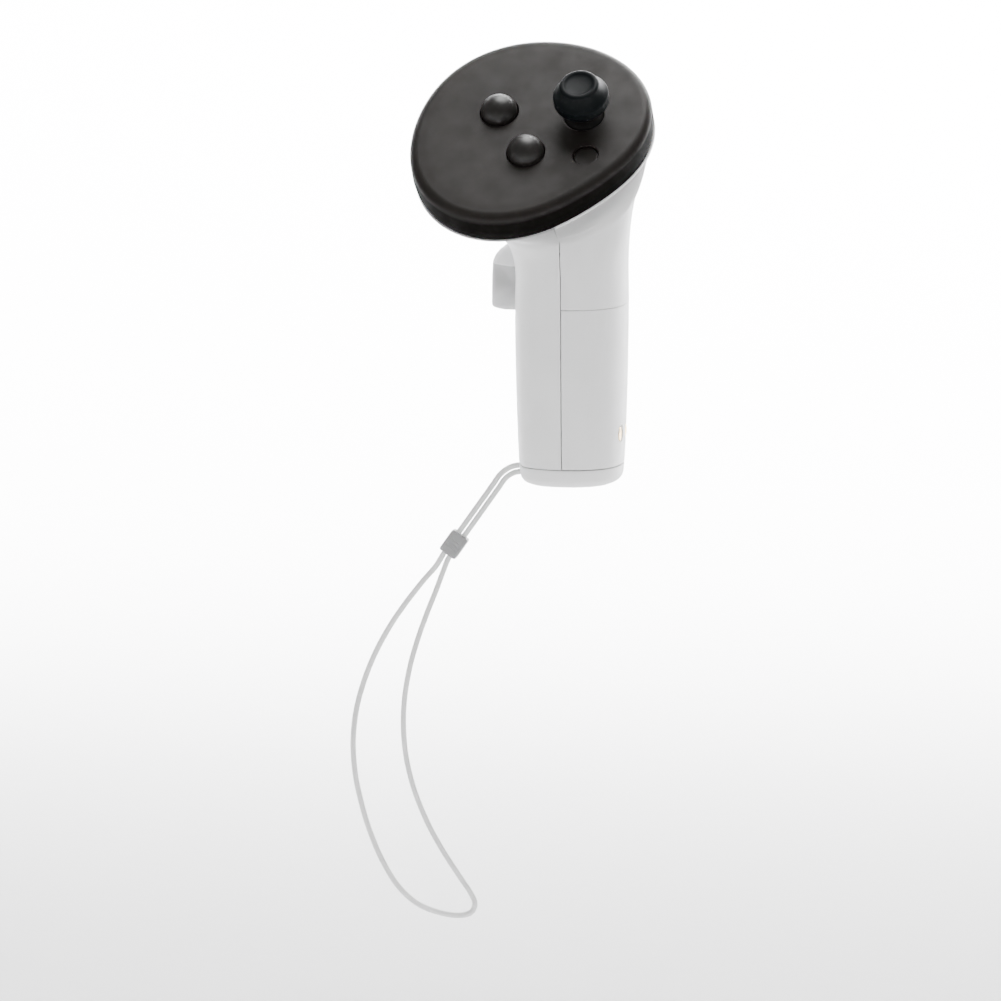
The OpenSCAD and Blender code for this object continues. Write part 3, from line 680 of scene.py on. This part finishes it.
def key(name, at):
    """A domed key: a ball's cap that a small round joins to its side."""
    ball = (KEY_R ** 2 + (KEY_H - KEY_EDGE) ** 2) / (2 * (KEY_H - KEY_EDGE))
    rise = math.degrees(math.asin(KEY_R / ball))
    dome = [(x, y + KEY_H - ball) for x, y in arc(0, 0, ball, 90 - rise * 0.94, 90, 24)]
    x1, y1 = dome[0]
    shoulder = [(KEY_R, KEY_FOOT + 0.9), (KEY_R, KEY_EDGE - 0.3), (KEY_R - 0.03, KEY_EDGE)]
    shoulder.append(((KEY_R + x1) / 2 + 0.03, (KEY_EDGE + y1) / 2 + 0.02))
    profile = [(0, KEY_FOOT), (KEY_R + 0.9, KEY_FOOT), (KEY_R + 0.9, KEY_FOOT + 0.9)] + shoulder + dome
    profile[-1] = (0, KEY_H)
    return make(name, *revolve(profile, on_face(at), 96), 50)


def menu_key():
    """A sunken round key with a shallow dish."""
    top, dish, rim = -0.3, 0.16, MENU_R - 0.25
    flange_r, flange_top = MENU_R + 0.7, KEY_FOOT + 0.9
    profile = [(0, KEY_FOOT), (flange_r, KEY_FOOT), (flange_r, flange_top), (MENU_R, flange_top)]
    profile += [(MENU_R, top - 0.25), (MENU_R - 0.07, top - 0.07), (rim, top)]
    profile += [(rim * k / 8, top - dish * (1 - (k / 8) ** 2)) for k in range(7, -1, -1)]
    return make("menu_button_cap", *revolve(profile, on_face(MENU_AT), 72), 50)


def thumbstick_cap():
    """A neck round the post, a deep flange, a tapered shoulder, and a dished top in a raised ring."""
    foot = STICK_H - CAP_H
    profile = [(0, -3.2), (2.2, -3.2), (2.15, -2.4), (2.15, -1.2), (2.45, -0.5), (3.1, 0), (STICK_R - 1.8, 0)]
    profile += arc(STICK_R - 1.8, 1.8, 1.8, -80, 0, 8)
    profile += [(STICK_R, 2.5)] + arc(STICK_R - 0.8, 3.65, 0.8, 0, 58, 6)
    profile += [(6.55, 5.2), (5.85, 6.5)] + arc(4.55, 7.25, 1.0, 12, 90, 8, ry=0.95)
    profile += [(4.2, 8.14), (3.95, 7.96), (3.65, 7.82), (3.0, 7.68), (2.0, 7.57), (1.0, 7.52), (0, 7.5)]
    profile = [(r, h + foot) for r, h in profile]
    return make("stick_cap", *revolve(profile, on_face(STICK_AT), 128), 60)


def dust_dome():
    """The thin dome that closes the stick's opening."""
    inner, outer = DOME_R - 0.8, DOME_R
    profile = [(x, y + STICK_PIVOT) for x, y in arc(0, 0, outer, 18, 90 - 16.6, 20)]
    profile += [(x, y + STICK_PIVOT) for x, y in arc(0, 0, inner, 90 - 18.8, 18, 20)]
    profile.append(profile[0])
    return make("stick_dust_dome", *revolve(profile, on_face(STICK_AT), 96), 60)


def add_head():
    finish(face_cover(), "controller", "black_plastic", "face_cover")
    finish(key("upper_button_cap", UPPER_AT), "upper_button", "key_black", "upper_key")
    finish(key("lower_button_cap", LOWER_AT), "lower_button", "key_black", "lower_key")
    finish(menu_key(), "menu_button", "black_plastic", "menu_key")
    finish(thumbstick_cap(), "thumbstick", "stick_rubber", "thumbstick_cap")
    finish(dust_dome(), "thumbstick", "dark_plastic", "dust_dome")


# ---- Handle
def shell(name, outward, s0, s1, rows, lip=0.0, rise=0.0):
    """Half of the skin as a shell with round edges: the outer half on +X, or the inner half. Under the head
    its rim stands out by lip and up by rise."""
    columns = 64
    gap = 0.12
    # Each section is a list of (station, how far in, how far up)
    outer = [(mix(s0, s1, i / rows), 0, 0) for i in range(rows + 1)]
    inner = [(s, WALL, flare_lift(s)) for s, d, lift in outer]
    if lip:
        # The rim's foot, its outer wall, its round top, and the shelf that the head's cover sits on
        foot, edge, back = s1 - 0.10, 0.16, 0.42 - lip
        rim = [(foot, 0, 0), (foot + 0.012, -0.25 * lip, 0), (foot + 0.02, -0.75 * lip, 0)]
        rim += [(foot + 0.034, -lip, 0)] + [(s1, -lip, rise * k / 2 - edge) for k in (0, 1)]
        rim += [(s1, -lip + edge - x, rise - edge + y) for x, y in arc(0, 0, edge, 0, 90, 4)]
        shelf = [(foot + k, WALL, 0) for k in (0, 0.03, 0.06)] + [(s1, WALL, -0.1), (s1, WALL - 0.2, 0)]
        shelf += [(s1, mix(WALL - 0.2, back, k / 2), 0) for k in (1, 2)]
        shelf += [(s1, back, mix(0.0, rise - 0.1, k / 3)) for k in (1, 2)]
        shelf += [(s1, back, rise - 0.1), (s1, 0.36 - lip, rise)]
        outer = [q for q in outer if q[0] < foot - 0.02] + rim
        inner = [q for q in inner if q[0] < foot - 0.02] + shelf

    def grid(section):
        out = []
        for s, d, lift in section:
            t0, t1 = (-seam(s), seam(s)) if outward else (seam(s), 360 - seam(s))
            for j in range(columns + 1):
                p = skin(s, mix(t0, t1, j / columns), d, lift)
                # The seams down the two sides leave a fine gap
                if j in (0, columns):
                    p.x += gap if outward else -gap
                out.append(p)
        return out

    return soften(make(name, *slab(grid(outer), grid(inner), columns + 1)), 0.25, 3, 65)


def trigger_slot():
    """The opening in both shells that the trigger moves in."""
    half = TRIGGER_W / 2 + 0.6
    return make("slot", *prism(rounded_box(TRIGGER_X - half, 92, TRIGGER_X + half, 122, 2.0), 1, 19, 42))


def grip_window():
    """The grip button's window: round at the top, nearly square at the foot, where the button swings down."""
    (y0, y1), (z0, z1) = GRIP_Y, GRIP_Z
    top, foot, gap, drop = GRIP_TOP_R, GRIP_FOOT_R, 0.4, 1.5
    outline = arc(y1 - top, z1 - top, top + gap, 0, 90, 9) + arc(y0 + top, z1 - top, top + gap, 90, 180, 9)
    outline += arc(y0 + foot, z0 + foot - drop, foot + gap, 180, 270, 9)
    outline += arc(y1 - foot, z0 + foot - drop, foot + gap, 270, 360, 9)
    return make("window", *prism(outline, 0, -32, -8))


def end_cap():
    """The hollow cap at the handle's end, with the slot that the doubled cord leaves through."""
    steps, n = 18, 192
    rings = []
    for k in range(steps + 1):
        s = CAP_TOP_S * k / steps
        rings.append([skin(s, 360 * j / n, 0) for j in range(n)])
    for s, z in ((CAP_TOP_S, station(CAP_TOP_S)[2]), (1.8, 3), (1.4, 2)):
        inner = [skin(s, 360 * j / n, WALL) for j in range(n)]
        rings.append([Vector((p.x, p.y, z)) for p in inner])
    cap = make("handle_end_cap", *loft(rings))
    soften(cap, 0.25, 3, 50)
    return cut(cap, make("cord_slot", *prism(rounded_box(-1.1, 1.05, 1.1, 5.35, 0.9), 0, -18, -9)))


def contact_places():
    """The places of the charging contacts, whose own Z runs along +X."""
    return [Matrix.Translation((0, y, CONTACTS_Z)) @ ALONG_X for y in CONTACTS_Y]


def charge_contacts():
    """Two round pads with a soft rim."""
    profile = [(0, 12.2), (CONTACT_R, 12.2), (CONTACT_R, 14.1)] + arc(1.75, 14.1, 0.22, 0, 90, 4)
    profile += [(1.2, 14.32), (1.0, 14.2), (0, 14.2)]
    return make("charge_pads", *join(*(revolve(profile, place, 64) for place in contact_places())), 50)


def grip_button():
    """A pillow inside the button's outline. Its flank on the user's side is scooped below a crease."""
    (y0, y1), (z0, z1) = GRIP_Y, GRIP_Z
    top, foot = GRIP_TOP_R, GRIP_FOOT_R
    ridge, crease = GRIP_RIDGE, GRIP_CREASE
    # How far the ridge stands from the handle's axis, by height, and the least that the rest does
    side = [(48.0, 21.9), (48.3, 22.3), (48.9, 22.45), (52, 22.5), (57, 22.45), (60.6, 22.2), (62.4, 21.5),
            (64.0, 20.2), (65.3, 18.6), (66.2, 17.0), (66.8, 15.2), (67.0, 13.6)]
    least = 12.9

    def reach(z):
        for (za, xa), (zb, xb) in zip(side, side[1:]):
            if z <= zb:
                return mix(xa, xb, (z - za) / (zb - za))
        return side[-1][1]

    def scoop(z):
        """The scoop's depth: it deepens slowly below the crease, and comes back up to the lower lip."""
        depth, deepest, lip = 4.6, 54.0, 48.9
        if z > deepest:
            return depth * math.sin(math.pi / 2 * max(0, crease - z) / (crease - deepest)) ** 0.8
        return depth * math.cos(math.pi / 2 * min(1, (deepest - z) / (deepest - lip)))

    def surface(y, z):
        """The x of the button's face."""
        t = (y - ridge) / ((ridge - y0) if y < ridge else (y1 - ridge))
        fall = 6.4 * abs(t) ** 1.9 if y < ridge else 5.6 * abs(t) ** 2.4
        return -max(least, reach(z) - fall - scoop(z) * (1 - ramp(y, -3.6, 0.6)))

    def span(z):
        """The outline's lowest and highest y at height z."""
        low = high = 0.0
        if z > z1 - top:
            low = high = top - math.sqrt(max(0, top ** 2 - (z - z1 + top) ** 2))
        elif z < z0 + foot:
            low = high = foot - math.sqrt(max(0, foot ** 2 - (z0 + foot - z) ** 2))
        return y0 + low, y1 - high

    heights = [z0 + foot * (1 - math.cos(math.radians(k))) for k in range(0, 90, 15)]
    heights += [mix(z0 + foot, crease - 0.3, k / 30) for k in range(31)] + [crease, crease + 0.3]
    heights += [mix(crease + 0.6, z1 - 0.02, 1 - (1 - k / 18) ** 1.6) for k in range(19)]
    columns = 44
    rows = [[(mix(*span(z), j / columns), z) for j in range(columns + 1)] for z in heights]
    outer = [Vector((surface(y, z), y, z)) for r in rows for y, z in r]
    back = [Vector((-mix(12.7, 10.2, (z - z0) / (z1 - z0)), y, z)) for r in rows for y, z in r]
    return soften(make("grip_paddle", *slab(outer, back, columns + 1), 50), 0.4, 4, 50, sharp=50)


def trigger_blade():
    """(points, faces) of the blade, in rings from its top to its tip. Each is a rounded rectangle between the
    inner and outer faces."""
    # (z, inner face, outer face, half width)
    spine = [Vector(row) for row in (
        (109.2, 28.0, 29.6, 11.0), (108.4, 27.3, 30.5, 11.7), (106.8, 27.0, 31.0, 12.0),
        (102.0, 26.7, 31.1, 12.0), (96.6, 26.5, 30.4, 12.0), (91.6, 26.6, 29.9, 11.7),
        (87.0, 26.9, 30.1, 10.9), (82.6, 27.8, 31.2, 9.9), (79.4, 29.2, 32.8, 8.6),
        (77.2, 30.6, 34.0, 7.2), (75.9, 32.0, 34.2, 5.6), (75.5, 32.7, 33.8, 3.6))]
    steps, n = 6, 72
    rows = [spline(*around(spine, i), k / steps) for i in range(len(spine) - 1) for k in range(steps)]
    rings = []
    for z, inner, outer, half in rows + [spine[-1]]:
        ring = []
        for j in range(n):
            c, s = math.cos(2 * math.pi * j / n), math.sin(2 * math.pi * j / n)
            x = half * math.copysign(abs(c) ** 0.28, c)
            bow = 0.55 * (x / (TRIGGER_W / 2)) ** 2 if s > 0 else 0
            y = (inner + outer) / 2 + (outer - inner) / 2 * math.copysign(abs(s) ** 0.55, s) - bow
            ring.append(Vector((TRIGGER_X + x, y, z)))
        rings.append(ring)
    return loft(rings)


def index_trigger():
    """The blade, and on each side a cheek, a hinge tube and the arm that joins it to the blade."""
    cheek_t = 1.4
    cheek = [(28, 107.8), (24.8, 106), (22.8, 104.1), (21.6, 100.8), (21.4, 97.4), (22.3, 94.4), (24.2, 91),
             (26.8, 87), (28.4, 86), (28.6, 100)]
    tube = [(1.06, 0), (2.3, 0), (2.3, 5.5), (1.06, 5.5), (1.06, 0)]
    y0, y1, z0, z1 = TRIGGER_Y + 1.2, 27, TRIGGER_Z - 1.5, TRIGGER_Z + 2.2
    arm = [(y0, z0), (y1, z0), (y1, z1), (y0, z1)]
    half = TRIGGER_W / 2
    parts = [trigger_blade()]
    for side in (-1, 1):
        a, b = sorted((TRIGGER_X + side * half, TRIGGER_X + side * (half - cheek_t)))
        parts.append(prism(cheek, 0, a + 0.05, b))
        turn = Matrix.Rotation(side * math.pi / 2, 4, "Y")
        place = Matrix.Translation((TRIGGER_X + side * 2.2, TRIGGER_Y, TRIGGER_Z)) @ turn
        parts.append(revolve(tube, place, 48))
        x0, x1 = sorted((TRIGGER_X + side * 3, TRIGGER_X + side * 7))
        parts.append(prism(arm, 0, x0, x1))
    return make("trigger_blade", *join(*parts))


def add_handle():
    inner = shell("inner_shell_skin", False, SHELL_FOOT_S, RIM_S, 150, lip=0.45)
    cut(inner, trigger_slot(), grip_window())
    finish(inner, "controller", "white_plastic", "inner_shell")
    outer = shell("outer_shell_skin", True, COVER_TOP_S, RIM_S, 100, lip=0.85, rise=0.75)
    cut(outer, trigger_slot())
    finish(outer, "controller", "white_plastic", "outer_shell")
    door = shell("battery_door_skin", True, SHELL_FOOT_S, COVER_TOP_S - 0.012, 60)
    bore = [(0, 8), (2.1, 8), (2.1, 13.9), (2.3, 14.2), (2.6, 14.6), (2.6, 20), (0, 20)]
    cut(door, *(make("bore", *revolve(bore, place, 48)) for place in contact_places()))
    finish(door, "battery_door", "white_plastic", "battery_cover")
    finish(charge_contacts(), "battery_door", "contact_gold", "charge_contacts")
    finish(end_cap(), "controller", "white_plastic", "end_cap")
    finish(grip_button(), "grip", "grey_plastic", "grip_button")
    finish(index_trigger(), "trigger", "dark_plastic", "index_trigger")


def battery_cell():
    """A cell with a crimped shoulder, a raised cap and a round foot."""
    r = BATTERY_R
    profile = [(0, 8.9), (5.6, 8.9), (6.0, 9.1)] + arc(r - 0.5, 9.6, 0.5, -80, 0, 5)
    profile += [(r, 56.9), (r - 0.12, 57.2)] + arc(r - 0.9, 57.5, 0.7, 20, 90, 5)
    profile += [(5.6, 58.2), (5.2, 58.05), (3.1, 58.05), (2.75, 58.3), (2.7, 58.8)]
    profile += arc(2.4, 58.8, 0.3, 0, 90, 4) + [(0, 59.1)]
    return make("cell_can", *revolve(profile, Matrix.Translation((BATTERY_X, 0, 0)), 96), 50)


def add_inside():
    """The cell, and a finish for every CAD node by its own slot."""
    finish(battery_cell(), "controller", "cell_wrap", "battery_cell")
    slots = {row["node"]: row["material_slot"] for row in frame["record"]["subparts"]}
    for name, node in frame["nodes"].items():
        node.data.materials.clear()
        node.data.materials.append(FINISH[slots[name]])


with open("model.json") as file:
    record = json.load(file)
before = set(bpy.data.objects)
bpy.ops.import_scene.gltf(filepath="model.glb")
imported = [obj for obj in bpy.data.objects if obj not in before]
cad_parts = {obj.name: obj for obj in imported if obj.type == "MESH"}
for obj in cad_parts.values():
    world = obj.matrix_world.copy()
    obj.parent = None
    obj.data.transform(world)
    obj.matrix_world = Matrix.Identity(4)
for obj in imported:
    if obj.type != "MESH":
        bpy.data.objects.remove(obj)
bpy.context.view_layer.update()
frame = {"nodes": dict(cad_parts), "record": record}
FINISH = all_materials()
add_camera()
add_strap()
add_stage()
add_head()
add_handle()
add_inside()
